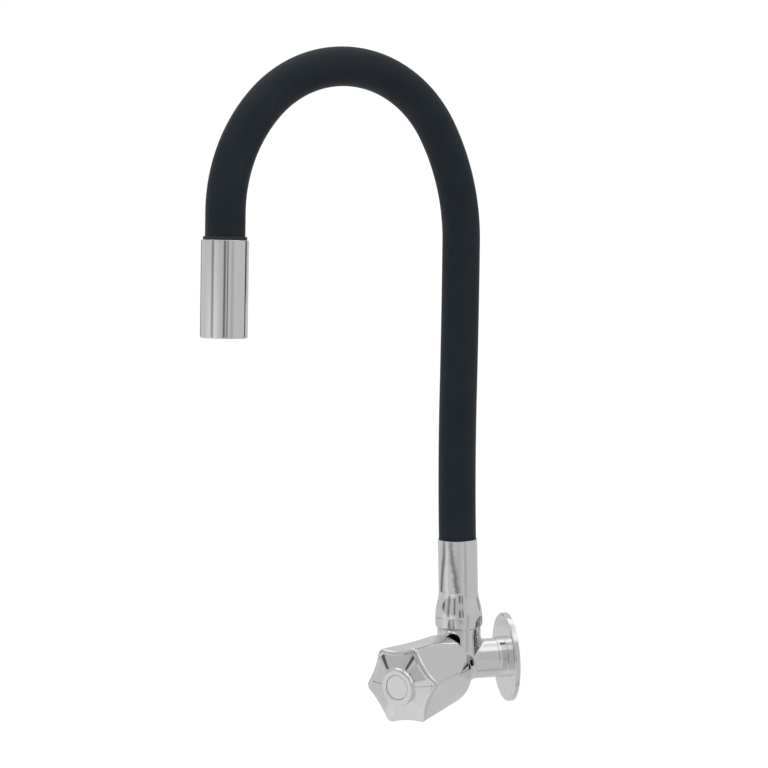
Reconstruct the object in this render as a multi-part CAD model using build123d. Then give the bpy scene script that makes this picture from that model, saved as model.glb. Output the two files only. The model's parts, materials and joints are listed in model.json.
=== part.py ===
from build123d import *
import os
from math import asin, atan2, cos, degrees, pi, radians, sin, sqrt

# Flexible wall tap, in millimetres. The wall is the plane y = 0 and the tap stands out along -Y.
# The origin is the centre of the flange's back face, on the axis of the inlet thread.

# Clearances
running_gap = 0.1  # radial, round a piece that turns or slides in a bore
thread_gap = 0.05  # radial, between screwed pieces drawn without their thread form
face_gap = 0.05  # between flat faces that slide on each other
ball_gap = 0.3  # round the ball end of a hose span
trim_gap = 0.3  # round a piece that passes another without guiding it

# Layout of the three axes, which meet in the body
wall_offset = 27.6
valve_angle = 45.0  # valve axis, turned from straight out toward +X
valve_drop = 1.2  # valve axis below the inlet's
spout_angle = 18.0  # plane of the spout at rest, turned the same way
screw_angle = 61.0  # grub screw in the outlet boss, turned the same way

# Inlet: a G1/2 thread measures 20.955 mm over its crests
inlet_radius = 10.5
inlet_thread_radius = 20.955 / 2
inlet_thread_length = 14.0
thread_chamfer = 1.0
thread_relief_radius = 9.4  # groove behind the flange where the thread runs out
thread_relief_width = 2.0
inlet_bore_radius = 5.0
inlet_bore_stop = 2.0  # end of the inlet bore, before the crossing of the axes

# Wall flange, a pressed dish with a collar round the inlet
flange_radius = 23.8
flange_depth = 3.3
flange_sheet = 0.9
flange_collar_wall = 0.5
flange_collar_length = 4.5
flange_edge_radius = 1.2

# Outlet boss, where the spout turns
boss_radius = 11.7
boss_height = 18.2
spigot_bore_radius = 8.5
spigot_bore_floor = 6.4
glide_washer_thickness = 0.5
glide_washer_radius = 11.1

# Grub screw that keeps the spout in the boss
grub_radius = 3.7
grub_height = 13.2  # centre of the screw above the inlet axis
grub_length = 2.0
grub_recess = 0.8
grub_socket_flats = 4.0
grub_socket_depth = 1.2
grub_dog_radius = 1.2

# Valve seat and valve boss
valve_boss_radius = 11.5
valve_boss_length = 16.2
casting_blend = 2.5  # rounding where the inlet, boss and valve boss meet
chamber_radius = 8.6
chamber_floor = 3.7
seat_radius = 4.5
seat_lip_width = 1.0
seat_lip_height = 0.8
seat_reach_back = 5.0

# Headwork: bonnet, jumper and spindle
valve_lift = 4.5
bonnet_cavity_radius = 7.0
gasket_thickness = 1.0
bonnet_hex_flats = 22.0
bonnet_hex_height = 5.0
bonnet_neck_radius = 8.6
bonnet_top = 34.0
bonnet_guide_length = 8.6  # hexagonal guide that keeps the jumper from turning
jumper_plate_radius = 6.5
jumper_plate_thickness = 2.0
jumper_hex_flats = 8.0
jumper_thread_radius = 2.9
jumper_thread_length = 8.0
washer_radius = 6.3
washer_thickness = 3.0
washer_bore_radius = 2.0
washer_screw_head_radius = 3.6
washer_screw_head_height = 1.6
washer_screw_head_sink = 1.2
washer_screw_radius = 1.2
washer_screw_reach = 3.0  # how far the screw runs into the jumper's plate and stem
washer_spigot_height = 1.8
spindle_radius = 6.0
spindle_shoulder = 36.6
spindle_spline_radius = 4.0
spindle_end = 50.0
spline_count = 12
spline_depth = 0.5
circlip_thickness = 0.8
circlip_radius = 7.4
circlip_gap = 6.0
circlip_groove_depth = 0.9
valve_ring_section = 1.6  # cord diameter of the spindle's O-rings
first_valve_ring = 26.2
second_valve_ring = 29.6

# Knob: a six-pointed star at the front that fades into a round skirt
knob_points = 6
knob_start = 16.4  # back of the skirt, from the meeting of the axes
knob_star_plane = 58.0
knob_point_radius = 21.7
knob_valley_radius = 17.6
knob_skirt_radius = 18.4
knob_tip_round = 2.4  # radius of each point
knob_skirt_joint = 5.0  # angle that a point keeps where the skirt is round
knob_back_edge = 2.4  # rounding of the skirt's back edge
knob_turned = 37.4  # first point, turned from straight up
knob_hub_height = 3.4  # hub ring above the star plane
knob_hub_radius = 10.1
knob_hub_edge = 0.7  # rounding of the hub's step
knob_ring_radius = 8.2
knob_ring_height = 1.0
knob_facet_hollow = 0.5
knob_wall = 2.0
knob_front_wall = 4.0
knob_hub_wall = 2.5
knob_ring_edge_radius = 0.5
knob_edge_ease = 0.8  # bevel between the sides and the face
cap_radius = 6.3
cap_thickness = 1.6
cap_skirt_wall = 1.0
cap_skirt_depth = 3.0
cap_recess = 0.3  # below the ring round it
cap_edge_radius = 0.4
knob_floor_wall = 1.4  # under the head of the knob's screw
knob_screw_radius = 1.95
knob_screw_length = 12.0
knob_screw_head_radius = 3.6
knob_screw_head_height = 2.6
screw_slot_width = 1.0
screw_slot_depth = 0.9

# Spout neck, the bottle-shaped sleeve at the foot of the hose
neck_radius = 10.6
neck_flare_radius = 12.75
neck_foot_edge = 1.1  # rounding at the foot
neck_flare_end = 5.6
neck_shoulder_end = 19.8
neck_top = 65.3  # rim of the neck above the inlet axis
neck_hose_seat = 42.0
neck_rim_radius = 0.25

# Spigot that turns in the boss
spigot_shoulder_radius = 10.8
spigot_shoulder_height = 1.8
spigot_thread_radius = 9.2
spigot_thread_length = 10.4
spigot_bore = 3.6
groove_width = 3.2
groove_depth = 1.8
spout_ring_section = 1.8  # cord diameter of the spigot's O-rings
nipple_radius = 3.2
nipple_bore_radius = 2.2
nipple_length = 15.0

# Hose: silicone sleeve over a gooseneck core over a water tube
hose_radius = 10.0
sleeve_bore_radius = 7.1
core_radius = 7.0
core_bore_radius = 5.3
water_tube_radius = 4.6
water_tube_bore_radius = 3.25
span_lengths = (80.0, 80.0, 61.0, 57.0, 59.5, 59.5)
span_turns = (2.8, -0.9, -30.5, -53.3, -53.5, -42.0)
hose_straight_end = 14.0  # straight stretch between the last bend and the outlet
ferrule_wall = 0.6
ferrule_length = 11.0
ferrule_setback = 1.5

# Outlet with its aerator
outlet_radius = 11.9
outlet_length = 48.5
outlet_edge_radius = 0.8
outlet_hose_depth = 14.0
mouth_ring_radius = 11.0
mouth_ring_height = 1.8
mouth_ring_seat = 2.5
adapter_radius = 10.0
adapter_length = 20.0
adapter_chamber_radius = 8.0
adapter_chamber_depth = 7.0
aerator_radius = 10.9
aerator_wall = 1.8
aerator_recess = 0.8
aerator_lip = 1.0
aerator_gasket_thickness = 1.5
aerator_gasket_width = 2.6
flow_disc_thickness = 2.4
flow_disc_holes = 12
flow_hole_radius = 0.7
screen_thickness = 0.5
screen_spacing = 2.2

# Places that follow from the sizes
body_centre = Vector(0, -wall_offset, 0)
valve_plane = Plane(
    origin=body_centre - Vector(0, 0, valve_drop),
    x_dir=(0, 0, 1),
    z_dir=(sin(radians(valve_angle)), -cos(radians(valve_angle)), 0),
)
boss_plane = Plane(origin=body_centre, x_dir=(1, 0, 0), z_dir=(0, 0, 1))
inlet_plane = Plane(origin=body_centre, x_dir=(1, 0, 0), z_dir=(0, 1, 0))
spout_out = Vector(sin(radians(spout_angle)), -cos(radians(spout_angle)), 0)
spout_normal = Vector(-cos(radians(spout_angle)), -sin(radians(spout_angle)), 0)

bonnet_tail_start = spigot_bore_radius + trim_gap
washer_seat = chamber_floor + seat_lip_height + face_gap
plate_start = washer_seat + washer_thickness
jumper_stem_start = plate_start + jumper_plate_thickness
guide_start = jumper_stem_start + valve_lift + trim_gap
bonnet_hex_start = valve_boss_length + gasket_thickness
bonnet_hex_end = bonnet_hex_start + bonnet_hex_height
spindle_start = guide_start + bonnet_guide_length
guide_end = spindle_start - face_gap
jumper_stem_end = guide_end - valve_lift - trim_gap

neck_foot = boss_height + glide_washer_thickness + face_gap
spigot_start = spigot_bore_floor + trim_gap
spigot_top = neck_foot + spigot_shoulder_height + spigot_thread_length
cap_seat_radius = cap_radius + thread_gap
knob_hub_end = knob_star_plane + knob_hub_height + knob_ring_height
knob_roof = knob_star_plane - knob_front_wall
knob_screw_seat = knob_roof + knob_floor_wall


def tube(plane, start, end, outer, inner=0.0):
    """A round bar or tube along the plane's own Z axis."""
    section = Circle(outer)
    if inner > 0:
        section -= Circle(inner)
    return extrude(plane.offset(start) * section, amount=end - start)


def o_ring(plane, height, outer, section):
    """An O-ring with its outer radius, squeezed flat enough to stay inside its bore."""
    centre = outer - section / 2
    profile = Location((centre, 0, height), (90, 0, 0)) * Circle(section / 2)
    return plane.location * revolve(profile, Axis.Z)


def hexagon_bar(plane, start, end, flats):
    """A hexagonal bar across the given flats."""
    section = RegularPolygon(radius=flats / 2, side_count=6, major_radius=False)
    return extrude(plane.offset(start) * section, amount=end - start)


def make_valve_body():
    """The casting: inlet tube, outlet boss and valve boss that meet in a round bowl."""
    inlet = tube(inlet_plane, 0, wall_offset, inlet_radius)
    thread = tube(inlet_plane, wall_offset, wall_offset + inlet_thread_length, inlet_thread_radius)
    thread = chamfer(thread.edges().group_by(Axis.Y)[-1], thread_chamfer)
    relief = tube(
        inlet_plane,
        wall_offset - thread_relief_width,
        wall_offset,
        inlet_radius + 1,
        thread_relief_radius,
    )
    boss = tube(boss_plane, -valve_drop, boss_height, boss_radius)
    valve_boss = tube(valve_plane, 0, valve_boss_length, valve_boss_radius)
    bowl = valve_plane.location * Sphere(boss_radius)
    casting = inlet + boss + bowl + valve_boss
    casting = fillet(junction_edges(casting), casting_blend) + thread

    inlet_bore = tube(
        inlet_plane, inlet_bore_stop, wall_offset + inlet_thread_length, inlet_bore_radius
    )
    spigot_bore = tube(boss_plane, spigot_bore_floor, boss_height, spigot_bore_radius)
    chamber = tube(valve_plane, chamber_floor, valve_boss_length, chamber_radius)
    orifice = tube(valve_plane, -seat_reach_back, chamber_floor, seat_radius)
    casting = casting - inlet_bore - spigot_bore - chamber - orifice - relief

    lip = tube(
        valve_plane,
        chamber_floor,
        chamber_floor + seat_lip_height,
        seat_radius + seat_lip_width,
        seat_radius,
    )
    screw_hole = tube(grub_plane(), 0, boss_radius + 1, grub_radius + thread_gap)
    return casting + lip - screw_hole


def junction_edges(casting):
    """Curved edges of the casting short of the three open ends."""
    ends = ((inlet_plane, wall_offset), (boss_plane, boss_height), (valve_plane, valve_boss_length))
    edges = []
    for edge in casting.edges():
        middle = edge.center() - body_centre
        inside = all(middle.dot(plane.z_dir) < end - face_gap for plane, end in ends)
        if inside and edge.geom_type != GeomType.LINE:
            edges.append(edge)
    return edges


def grub_plane():
    """Runs from the boss axis outward along the grub screw."""
    direction = (sin(radians(screw_angle)), -cos(radians(screw_angle)), 0)
    return Plane(
        origin=body_centre + Vector(0, 0, grub_height), x_dir=(0, 0, 1), z_dir=direction
    )


def make_grub_screw():
    """Socket set screw with a dog point that runs in the spigot's groove."""
    plane = grub_plane()
    outer_face = boss_radius - grub_recess
    inner_face = outer_face - grub_length
    dog_tip = spigot_bore_radius - running_gap - groove_depth + trim_gap
    screw = tube(plane, inner_face, outer_face, grub_radius)
    screw += tube(plane, dog_tip, inner_face, grub_dog_radius)
    return screw - hexagon_bar(
        plane, outer_face - grub_socket_depth, outer_face + 1, grub_socket_flats
    )


def make_wall_flange():
    """Pressed dish that covers the hole in the wall, with a collar round the inlet."""
    bore = inlet_radius + thread_gap
    collar = bore + flange_collar_wall
    front = wall_offset - flange_depth
    dish = tube(inlet_plane, front, wall_offset, flange_radius)
    dish = fillet(dish.edges().group_by(Axis.Y)[0], flange_edge_radius)
    dish -= tube(
        inlet_plane, front + flange_sheet, wall_offset, flange_radius - flange_sheet
    )
    dish += tube(inlet_plane, front - flange_collar_length, wall_offset, collar)
    return dish - tube(inlet_plane, front - flange_collar_length, wall_offset, bore)


def make_glide_washer():
    """Thin plastic washer that the spout turns on."""
    return tube(
        boss_plane,
        boss_height,
        boss_height + glide_washer_thickness,
        glide_washer_radius,
        spigot_bore_radius + running_gap,
    )


def make_bonnet():
    """Headwork body: screwed tail, hexagon, and the neck that carries the spindle."""
    tail = tube(
        valve_plane, bonnet_tail_start, bonnet_hex_start, chamber_radius - thread_gap
    )
    hexagon = hexagon_bar(valve_plane, bonnet_hex_start, bonnet_hex_end, bonnet_hex_flats)
    flange = tube(
        valve_plane, bonnet_hex_start, bonnet_hex_end, bonnet_hex_flats / 2 / cos(pi / 6) - 0.5
    )
    neck = tube(valve_plane, bonnet_hex_end, bonnet_top, bonnet_neck_radius)
    bonnet = tail + (hexagon & flange) + neck
    bonnet -= tube(valve_plane, bonnet_tail_start, guide_start, bonnet_cavity_radius)
    bonnet -= hexagon_bar(
        valve_plane, guide_start, guide_end, jumper_hex_flats + 2 * running_gap
    )
    return bonnet - tube(valve_plane, guide_end, bonnet_top, spindle_radius + running_gap)


def make_bonnet_gasket():
    """Fibre washer between the valve boss and the bonnet's hexagon."""
    return tube(
        valve_plane,
        valve_boss_length,
        bonnet_hex_start,
        bonnet_hex_flats / 2,
        chamber_radius,
    )


def make_jumper():
    """Valve jumper: plate for the washer, a hexagon that can't turn, and the lifting thread."""
    jumper = tube(valve_plane, plate_start, jumper_stem_start, jumper_plate_radius)
    jumper += tube(
        valve_plane, plate_start - washer_spigot_height, plate_start, washer_bore_radius
    )
    jumper += hexagon_bar(valve_plane, jumper_stem_start, jumper_stem_end, jumper_hex_flats)
    thread_end = jumper_stem_end + jumper_thread_length
    jumper += tube(valve_plane, jumper_stem_end, thread_end, jumper_thread_radius)
    return jumper - tube(
        valve_plane, washer_seat, plate_start + washer_screw_reach, washer_screw_radius + thread_gap
    )


def make_seat_washer():
    """Rubber washer that closes the seat."""
    washer = tube(
        valve_plane,
        washer_seat,
        plate_start,
        washer_radius,
        washer_bore_radius + thread_gap,
    )
    return washer - tube(
        valve_plane, washer_seat, washer_seat + washer_screw_head_sink, washer_screw_head_radius + thread_gap
    )


def make_washer_screw():
    """Cheese-head screw that holds the seat washer."""
    head_end = washer_seat + washer_screw_head_sink
    head_start = head_end - washer_screw_head_height
    screw = tube(valve_plane, head_start, head_end, washer_screw_head_radius)
    screw += tube(
        valve_plane, head_end, plate_start + washer_screw_reach - face_gap, washer_screw_radius
    )
    slot = valve_plane.location * Pos(0, 0, head_start) * Box(
        2 * washer_screw_head_radius + 1, screw_slot_width, 2 * screw_slot_depth
    )
    return screw - slot


def make_spindle():
    """Spindle that turns in the bonnet and lifts the jumper on an inner thread."""
    groove = valve_ring_section + 0.2
    floor = spindle_radius + running_gap - valve_ring_section
    spindle = tube(valve_plane, spindle_start, spindle_shoulder, spindle_radius)
    for height in (first_valve_ring, second_valve_ring):
        spindle -= tube(
            valve_plane,
            height - groove / 2,
            height + groove / 2,
            spindle_radius + 1,
            floor - running_gap / 2,
        )
    spindle -= tube(
        valve_plane,
        bonnet_top + face_gap,
        bonnet_top + 2 * face_gap + circlip_thickness,
        spindle_radius + 1,
        spindle_radius - circlip_groove_depth,
    )
    spline = tube(valve_plane, spindle_shoulder, spindle_end, spindle_spline_radius)
    for index in range(spline_count):
        notch = Rot(0, 0, index * 360 / spline_count) * Pos(
            spindle_spline_radius, 0, (spindle_shoulder + spindle_end) / 2
        ) * Box(2 * spline_depth, 0.7, spindle_end - spindle_shoulder)
        spline -= valve_plane.location * notch
    spindle += spline
    lift_bore_end = jumper_stem_end + jumper_thread_length + valve_lift + trim_gap
    spindle -= tube(
        valve_plane, spindle_start, lift_bore_end, jumper_thread_radius + running_gap
    )
    return spindle - tube(
        valve_plane,
        spindle_end - knob_screw_length,
        spindle_end,
        knob_screw_radius + thread_gap,
    )


def make_spindle_rings():
    """Two O-rings that seal the spindle in the bonnet."""
    outer = spindle_radius + running_gap / 2
    rings = [
        o_ring(valve_plane, height, outer, valve_ring_section)
        for height in (first_valve_ring, second_valve_ring)
    ]
    return Compound(children=rings)


def make_circlip():
    """Spring clip above the bonnet that keeps the spindle in."""
    start = bonnet_top + 1.5 * face_gap
    bore = spindle_radius - circlip_groove_depth + face_gap
    clip = tube(valve_plane, start, start + circlip_thickness, circlip_radius, bore)
    gap = valve_plane.location * Pos(circlip_radius, 0, start) * Box(
        2 * circlip_radius, circlip_gap, 4 * circlip_thickness
    )
    return clip - gap


def star_section(height, point_radius, valley_radius):
    """Closed outline of hollow sides that run smoothly into rounded points."""
    step = 360 / knob_points
    joint_radius, joint_angle = point_joint(point_radius, valley_radius)
    edges = []
    for index in range(knob_points):
        middle = knob_turned + index * step
        before = on_circle(joint_radius, middle - joint_angle)
        after = on_circle(joint_radius, middle + joint_angle)
        edges.append(ThreePointArc(before, on_circle(point_radius, middle), after))
        valley = on_circle(valley_radius, middle + step / 2)
        next_point = on_circle(joint_radius, middle + step - joint_angle)
        edges.append(ThreePointArc(after, valley, next_point))
    return valve_plane.location * Pos(0, 0, height) * make_face(edges)


def point_joint(point_radius, valley_radius):
    """Radius and angle from a point's middle where its round meets the hollow side."""
    if valley_radius >= point_radius:
        return point_radius, knob_skirt_joint
    half_step = radians(180 / knob_points)
    tip = point_radius - knob_tip_round
    dip = valley_radius - knob_tip_round
    hollow_centre = (tip**2 - dip**2) / (2 * (tip * cos(half_step) - dip))
    share = knob_tip_round / (knob_tip_round + hollow_centre - valley_radius)
    across = tip + (hollow_centre * cos(half_step) - tip) * share
    aside = hollow_centre * sin(half_step) * share
    return sqrt(across**2 + aside**2), degrees(atan2(aside, across))


def on_circle(radius, angle, height=0.0):
    """A point in a plane's own frame from its radius and angle."""
    return (radius * cos(radians(angle)), radius * sin(radians(angle)), height)


def facet_cutter(index):
    """Hollow facet of the knob's face, narrow at the hub and wide at the rim."""
    step = 360 / knob_points
    slope = knob_hub_height / (knob_point_radius - knob_hub_radius)
    sections = []
    for radius in (knob_hub_radius, 1.2 * knob_point_radius):
        height = knob_star_plane + slope * (knob_point_radius - radius)
        half_chord = radius * sin(radians(step / 2))
        reach = radius * cos(radians(step / 2))
        hollow = knob_facet_hollow * radius / knob_point_radius
        outline = [
            Line((reach, -half_chord, height), (reach, -half_chord, knob_hub_end + 2)),
            Line((reach, -half_chord, knob_hub_end + 2), (reach, half_chord, knob_hub_end + 2)),
            Line((reach, half_chord, knob_hub_end + 2), (reach, half_chord, height)),
            ThreePointArc(
                (reach, half_chord, height),
                (reach, 0, height - hollow),
                (reach, -half_chord, height),
            ),
        ]
        sections.append(make_face(outline))
    wedge = loft(sections, ruled=True)
    return valve_plane.location * Rot(0, 0, knob_turned + (index + 0.5) * step) * wedge


def knob_envelope():
    """Round shape that takes the corner off the back edge of the skirt."""
    inner = knob_skirt_radius - knob_back_edge
    edge_end = knob_start + knob_back_edge
    slant = knob_back_edge / sqrt(2)
    wide = 2 * knob_point_radius
    outline = [
        Line((0, 0, knob_start), (inner, 0, knob_start)),
        ThreePointArc(
            (inner, 0, knob_start),
            (inner + slant, 0, edge_end - slant),
            (knob_skirt_radius, 0, edge_end),
        ),
        Line((knob_skirt_radius, 0, edge_end), (wide, 0, knob_star_plane)),
        Line((wide, 0, knob_star_plane), (wide, 0, knob_hub_end)),
        Line((wide, 0, knob_hub_end), (0, 0, knob_hub_end)),
        Line((0, 0, knob_hub_end), (0, 0, knob_start)),
    ]
    return valve_plane.location * revolve(make_face(outline), Axis.Z)


def front_circle(shape):
    """Foremost round edge along the valve axis."""
    return shape.edges().filter_by(GeomType.CIRCLE).sort_by(
        lambda edge: (edge.center() - body_centre).dot(valve_plane.z_dir)
    )[-1]


def make_knob():
    """Hand wheel: lofted star sides, hollow facets on the face, and a splined hub inside."""
    fade = knob_star_plane - knob_start
    blend = 0.45
    sections = [
        star_section(knob_start, knob_skirt_radius, knob_skirt_radius),
        star_section(
            knob_start + blend * fade,
            knob_skirt_radius + (knob_point_radius - knob_skirt_radius) * blend,
            knob_skirt_radius + (knob_valley_radius - knob_skirt_radius) * 0.4,
        ),
        star_section(
            knob_star_plane - knob_edge_ease, knob_point_radius, knob_valley_radius
        ),
    ]
    grip = loft(sections)
    eased_star = star_section(
        knob_star_plane,
        knob_point_radius - knob_edge_ease,
        knob_valley_radius - knob_edge_ease,
    )
    grip += loft([sections[-1], eased_star], ruled=True)
    crown = extrude(eased_star, amount=knob_hub_height, dir=valve_plane.z_dir)
    for index in range(knob_points):
        crown -= facet_cutter(index)
    hub_start = knob_star_plane + knob_hub_height / 2
    hub_step = knob_hub_end - knob_ring_height
    step = tube(valve_plane, hub_start, hub_step, knob_hub_radius)
    step = fillet(front_circle(step), knob_hub_edge)
    ring = tube(valve_plane, hub_start, knob_hub_end, knob_ring_radius)
    ring = fillet(front_circle(ring), knob_ring_edge_radius)
    knob = (grip & knob_envelope()) + crown + step + ring

    inside = knob_valley_radius - knob_wall
    hub = spindle_spline_radius + knob_hub_wall
    knob -= tube(valve_plane, knob_start, knob_roof, inside, hub)
    knob -= tube(valve_plane, knob_start, spindle_shoulder, hub)
    knob -= tube(valve_plane, spindle_shoulder, spindle_end, spindle_spline_radius + thread_gap)
    knob -= tube(valve_plane, spindle_end, knob_hub_end, knob_screw_radius + trim_gap)
    return knob - tube(valve_plane, knob_screw_seat, knob_hub_end, cap_seat_radius)


def make_knob_screw():
    """Screw that pulls the knob onto the spindle."""
    seat = knob_screw_seat
    screw = tube(valve_plane, seat, seat + knob_screw_head_height, knob_screw_head_radius)
    screw += tube(valve_plane, spindle_end - knob_screw_length + 1, seat, knob_screw_radius)
    for turn in (0, 90):
        slot = Pos(0, 0, seat + knob_screw_head_height) * Rot(0, 0, turn) * Box(
            knob_screw_head_radius, screw_slot_width, 2 * screw_slot_depth
        )
        screw -= valve_plane.location * slot
    return screw


def make_index_cap():
    """Plain cap that closes the knob's screw hole."""
    top = knob_hub_end - cap_recess
    cap = tube(valve_plane, top - cap_thickness, top, cap_radius)
    cap = fillet(front_circle(cap), cap_edge_radius)
    return cap + tube(
        valve_plane,
        top - cap_thickness - cap_skirt_depth,
        top - cap_thickness,
        cap_radius,
        cap_radius - cap_skirt_wall,
    )


def make_neck_sleeve():
    """Bottle-shaped chromed sleeve that grips the foot of the hose."""
    foot = neck_foot
    edge_start = neck_flare_radius - neck_foot_edge
    outline = [
        Line((0, foot), (edge_start, foot)),
        JernArc((edge_start, foot), (1, 0), neck_foot_edge, 90),
        Line((neck_flare_radius, foot + neck_foot_edge), (neck_flare_radius, foot + neck_flare_end)),
        Spline(
            (neck_flare_radius, foot + neck_flare_end),
            (neck_radius, foot + neck_shoulder_end),
            tangents=((0, 1), (0, 1)),
        ),
        Line((neck_radius, foot + neck_shoulder_end), (neck_radius, neck_top)),
        Line((neck_radius, neck_top), (0, neck_top)),
        Line((0, neck_top), (0, foot)),
    ]
    bottle = boss_plane.location * revolve(Rot(90, 0, 0) * make_face(outline), Axis.Z)
    bottle = fillet(bottle.edges().group_by(Axis.Z)[-1], neck_rim_radius)
    shoulder_top = foot + spigot_shoulder_height
    bottle -= tube(boss_plane, foot, shoulder_top, spigot_shoulder_radius + thread_gap)
    bottle -= tube(boss_plane, shoulder_top, spigot_top, spigot_thread_radius + thread_gap)
    bottle -= tube(boss_plane, spigot_top, neck_hose_seat, core_radius + thread_gap)
    return bottle - tube(boss_plane, neck_hose_seat, neck_top, hose_radius + thread_gap)


def make_swivel_spigot():
    """Spigot: sealed tail in the boss, screwed part in the neck, nipple in the water tube."""
    tail_radius = spigot_bore_radius - running_gap
    shoulder_top = neck_foot + spigot_shoulder_height
    spigot = tube(boss_plane, spigot_start, neck_foot, tail_radius)
    spigot += tube(boss_plane, neck_foot, shoulder_top, spigot_shoulder_radius)
    spigot += tube(boss_plane, shoulder_top, spigot_top, spigot_thread_radius)
    spigot += tube(boss_plane, spigot_top, spigot_top + nipple_length, nipple_radius)
    spigot -= tube(
        boss_plane,
        grub_height - groove_width / 2,
        grub_height + groove_width / 2,
        tail_radius + 1,
        tail_radius - groove_depth,
    )
    ring_floor = tail_radius + running_gap / 2 - spout_ring_section
    for height in spigot_ring_heights():
        spigot -= tube(
            boss_plane,
            height - spout_ring_section / 2 - 0.1,
            height + spout_ring_section / 2 + 0.1,
            tail_radius + 1,
            ring_floor - thread_gap,
        )
    spigot -= tube(boss_plane, spigot_start, spigot_top - 3, spigot_bore)
    return spigot - tube(
        boss_plane, spigot_start, spigot_top + nipple_length, nipple_bore_radius
    )


def spigot_ring_heights():
    """Middle heights of the two O-rings, on either side of the retaining groove."""
    step = groove_width / 2 + spout_ring_section / 2 + 0.8
    return (grub_height - step, grub_height + step)


def make_spigot_rings():
    """Two O-rings that seal the spigot in the boss."""
    outer = spigot_bore_radius - running_gap / 2
    rings = [
        o_ring(boss_plane, height, outer, spout_ring_section)
        for height in spigot_ring_heights()
    ]
    return Compound(children=rings)


def hose_stations():
    """Point and heading at each joint of the hose, from the neck to the last bend."""
    point = body_centre + Vector(0, 0, neck_top)
    heading = 90.0
    stations = [(point, heading)]
    for length, turn in zip(span_lengths, span_turns):
        chord = length * sin(radians(turn / 2)) / radians(turn / 2)
        course = radians(heading + turn / 2)
        point = point + spout_out * (chord * cos(course)) + Vector(0, 0, chord * sin(course))
        heading = heading + turn
        stations.append((point, heading))
    return stations


def along(heading):
    """Direction of the hose at a heading in the spout's plane."""
    return spout_out * cos(radians(heading)) + Vector(0, 0, sin(radians(heading)))


def station_plane(station):
    """Plane square to the hose at a joint, facing onward."""
    point, heading = station
    return Plane(origin=point, x_dir=spout_normal, z_dir=along(heading))


def bent_tube(station, length, turn, outer, inner):
    """One stretch of the hose with a steady curve."""
    point, heading = station
    radius = length / radians(abs(turn))
    side = 1 if turn > 0 else -1
    centre = point + along(heading + 90 * side) * radius
    section = station_plane(station) * (Circle(outer) - Circle(inner))
    return revolve(section, Axis(centre, spout_normal * side), revolution_arc=abs(turn))


def ball_end(outer, inner):
    """Ball-shaped end of one layer of a span, which the next span's cup turns on."""
    outline = [(inner, 0), (outer, 0)]
    if outer < hose_radius:
        outline.append((outer, sqrt(hose_radius**2 - outer**2)))
    tip = (inner, sqrt(hose_radius**2 - inner**2))
    start = asin(outline[-1][1] / hose_radius)
    end = asin(tip[1] / hose_radius)
    middle = (hose_radius * cos((start + end) / 2), hose_radius * sin((start + end) / 2))
    edges = [Line(a, b) for a, b in zip(outline, outline[1:])]
    edges.append(ThreePointArc(outline[-1], middle, tip))
    edges.append(Line(tip, outline[0]))
    return revolve(Rot(90, 0, 0) * make_face(edges), Axis.Z)


def hose_layer(index, outer, inner, foot_height, head_depth):
    """One layer of one hose span, cup at its foot and ball at its head."""
    stations = hose_stations()
    start = stations[index]
    end = stations[index + 1]
    layer = bent_tube(start, span_lengths[index], span_turns[index], outer, inner)
    if index == 0:
        layer += tube(boss_plane, foot_height, neck_top, outer, inner)
    else:
        cup = station_plane(start).location * Sphere(hose_radius + ball_gap)
        layer -= cup
    if index == len(span_lengths) - 1:
        layer += tube(station_plane(end), 0, hose_straight_end + head_depth, outer, inner)
    else:
        layer += station_plane(end).location * ball_end(outer, inner)
    return layer


def make_sleeve_span(index):
    """Silicone sleeve, seen from outside."""
    return hose_layer(index, hose_radius, sleeve_bore_radius, neck_hose_seat, outlet_hose_depth)


def make_core_span(index):
    """Gooseneck core that holds the hose where it is bent."""
    return hose_layer(index, core_radius, core_bore_radius, spigot_top, outlet_hose_depth)


def make_water_span(index):
    """Water tube inside the core."""
    return hose_layer(
        index, water_tube_radius, water_tube_bore_radius, spigot_top, outlet_hose_depth
    )


def outlet_plane():
    """Runs from the outlet's rim along its axis to the mouth."""
    end = station_plane(hose_stations()[-1])
    return end.offset(hose_straight_end)


def ferrule(plane, start):
    """Crimped ring round the water tube on its nipple."""
    inner = water_tube_radius + thread_gap
    return tube(plane, start, start + ferrule_length, inner + ferrule_wall, inner)


def make_lower_ferrule():
    """Ring that holds the water tube on the spigot."""
    return ferrule(boss_plane, spigot_top + ferrule_setback)


def make_upper_ferrule():
    """Ring that holds the water tube on the outlet's adapter."""
    return ferrule(outlet_plane(), outlet_hose_depth - ferrule_setback - ferrule_length)


def make_outlet_adapter():
    """Brass piece inside the outlet: nipple for the water tube and chamber over the aerator."""
    plane = outlet_plane()
    start = outlet_hose_depth
    end = start + adapter_length
    adapter = tube(plane, start, end, adapter_radius)
    adapter += tube(plane, start - nipple_length + 2, start, nipple_radius)
    adapter -= tube(plane, start - nipple_length + 2, end, nipple_bore_radius)
    return adapter - tube(plane, end - adapter_chamber_depth, end, adapter_chamber_radius)


def make_mouth_ring():
    """Black ring that closes the gap between the hose and the outlet's rim."""
    return tube(
        outlet_plane(),
        -mouth_ring_height,
        mouth_ring_seat,
        mouth_ring_radius,
        hose_radius + thread_gap,
    )


def make_outlet_shell():
    """Chromed outlet tube."""
    plane = outlet_plane()
    shell = tube(plane, 0, outlet_length, outlet_radius)
    ends = shell.edges().filter_by(GeomType.CIRCLE).sort_by(Axis.Z)
    shell = fillet(ends[0], outlet_edge_radius)
    top = shell.edges().filter_by(GeomType.CIRCLE).sort_by(Axis.Z)[-1]
    shell = fillet(top, outlet_edge_radius / 2)
    adapter_end = outlet_hose_depth + adapter_length
    shell -= tube(plane, 0, mouth_ring_seat, mouth_ring_radius + thread_gap)
    shell -= tube(plane, mouth_ring_seat, adapter_end, hose_radius + thread_gap)
    return shell - tube(plane, adapter_end, outlet_length, aerator_radius + thread_gap)


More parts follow.
